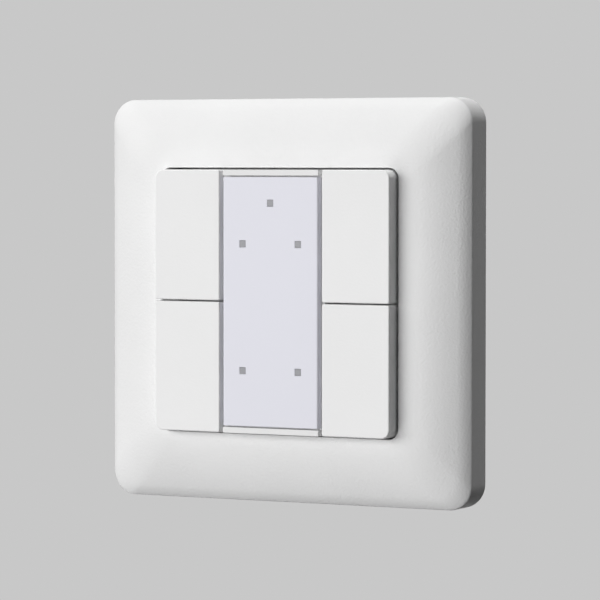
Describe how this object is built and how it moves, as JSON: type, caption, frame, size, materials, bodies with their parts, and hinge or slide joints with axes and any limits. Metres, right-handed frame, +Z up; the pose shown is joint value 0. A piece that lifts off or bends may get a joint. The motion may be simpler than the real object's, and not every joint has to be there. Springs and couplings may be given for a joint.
{
  "type": "lighting control panel",
  "caption": "Flush wall control panel for room lighting: keys either side of a label field with small status lights, in an arched square cover frame.",
  "frame": {"origin": "middle of the panel on the wall surface, halfway between the two side wall-box screws", "axes": "+X to the right seen from the room, +Y into the wall, +Z up"},
  "size_m": [0.0848, 0.0349, 0.0848],
  "materials": {
    "frame_plastic": "fine matt texture",
    "key_plastic": "fine matt texture",
    "carrier_plastic": "fine matt texture",
    "ring_steel": "zinc plated, rolled",
    "housing_plastic": "moulded, matt",
    "cover_plastic": "milky clear, silk",
    "label_paper": "smooth card",
    "light_guide": "grey translucent",
    "board_laminate": "solder mask",
    "switch_plastic": "moulded",
    "plunger_plastic": "moulded",
    "lamp_body": "moulded",
    "chip_resin": "moulded",
    "ferrite": "sintered",
    "capacitor_can": "drawn can",
    "screw_steel": "zinc plated",
    "pin_brass": "tinned brass",
    "terminal_red": "moulded",
    "terminal_dark": "moulded"
  },
  "bodies": {
    "panel_body": {"cover_frame": "frame_plastic", "support_ring": "ring_steel", "button_carrier": "carrier_plastic", "rear_housing": "housing_plastic", "circuit_board": "board_laminate", "housing_screws": "screw_steel", "upper_left_switch": "switch_plastic", "upper_right_switch": "switch_plastic", "lower_left_switch": "switch_plastic", "lower_right_switch": "switch_plastic", "label_sheet": "label_paper", "status_leds": "lamp_body", "operation_light_guide": "light_guide", "upper_left_light_guide": "light_guide", "upper_right_light_guide": "light_guide", "lower_left_light_guide": "light_guide", "lower_right_light_guide": "light_guide", "microcontroller": "chip_resin", "bus_transceiver": "chip_resin", "inductor": "ferrite", "capacitors": "capacitor_can", "bus_pins": "pin_brass", "bus_terminal_red": "terminal_red", "bus_terminal_dark": "terminal_dark", "programming_switch": "switch_plastic", "programming_led": "lamp_body", "programming_light_guide": "light_guide"},
    "upper_left_key": {"upper_left_key": "key_plastic"},
    "upper_right_key": {"upper_right_key": "key_plastic"},
    "lower_left_key": {"lower_left_key": "key_plastic"},
    "lower_right_key": {"lower_right_key": "key_plastic"},
    "upper_left_plunger": {"upper_left_plunger": "plunger_plastic"},
    "upper_right_plunger": {"upper_right_plunger": "plunger_plastic"},
    "lower_left_plunger": {"lower_left_plunger": "plunger_plastic"},
    "lower_right_plunger": {"lower_right_plunger": "plunger_plastic"},
    "programming_button": {"programming_button": "plunger_plastic"},
    "label_window": {"label_window": "cover_plastic"}
  },
  "joints": [
    {"name": "upper_left_key_hinge", "type": "hinge", "parent": "panel_body", "child": "upper_left_key", "pos_m": [-0.0136, -0.0096, 0.01375], "axis": [0, 0, -1], "range_deg": [0, 4], "stiffness_Nm_per_rad": 0.26, "springref_deg": -2.66},
    {"name": "upper_left_plunger_slide", "type": "slide", "parent": "panel_body", "child": "upper_left_plunger", "axis": [0, 1, 0], "range_m": [0, 0.00031]},
    {"name": "upper_right_key_hinge", "type": "hinge", "parent": "panel_body", "child": "upper_right_key", "pos_m": [0.0136, -0.0096, 0.01375], "axis": [0, 0, 1], "range_deg": [0, 4], "stiffness_Nm_per_rad": 0.26, "springref_deg": -2.66},
    {"name": "upper_right_plunger_slide", "type": "slide", "parent": "panel_body", "child": "upper_right_plunger", "axis": [0, 1, 0], "range_m": [0, 0.00031]},
    {"name": "lower_left_key_hinge", "type": "hinge", "parent": "panel_body", "child": "lower_left_key", "pos_m": [-0.0136, -0.0096, -0.01375], "axis": [0, 0, -1], "range_deg": [0, 4], "stiffness_Nm_per_rad": 0.26, "springref_deg": -2.66},
    {"name": "lower_left_plunger_slide", "type": "slide", "parent": "panel_body", "child": "lower_left_plunger", "axis": [0, 1, 0], "range_m": [0, 0.00031]},
    {"name": "lower_right_key_hinge", "type": "hinge", "parent": "panel_body", "child": "lower_right_key", "pos_m": [0.0136, -0.0096, -0.01375], "axis": [0, 0, 1], "range_deg": [0, 4], "stiffness_Nm_per_rad": 0.26, "springref_deg": -2.66},
    {"name": "lower_right_plunger_slide", "type": "slide", "parent": "panel_body", "child": "lower_right_plunger", "axis": [0, 1, 0], "range_m": [0, 0.00031]},
    {"name": "programming_button_slide", "type": "slide", "parent": "panel_body", "child": "programming_button", "axis": [0, -1, 0], "range_m": [0, 0.0003], "stiffness_N_per_m": 3000, "springref_m": -0.0003},
    {"name": "label_window_pull", "type": "slide", "parent": "panel_body", "child": "label_window", "axis": [0, -1, 0], "range_m": [0, 0.006]}
  ],
  "couplings": [
    {"joint": "upper_left_plunger_slide", "follows": "upper_left_key_hinge", "m_per_rad": 0.0044},
    {"joint": "upper_right_plunger_slide", "follows": "upper_right_key_hinge", "m_per_rad": 0.0044},
    {"joint": "lower_left_plunger_slide", "follows": "lower_left_key_hinge", "m_per_rad": 0.0044},
    {"joint": "lower_right_plunger_slide", "follows": "lower_right_key_hinge", "m_per_rad": 0.0044}
  ]
}
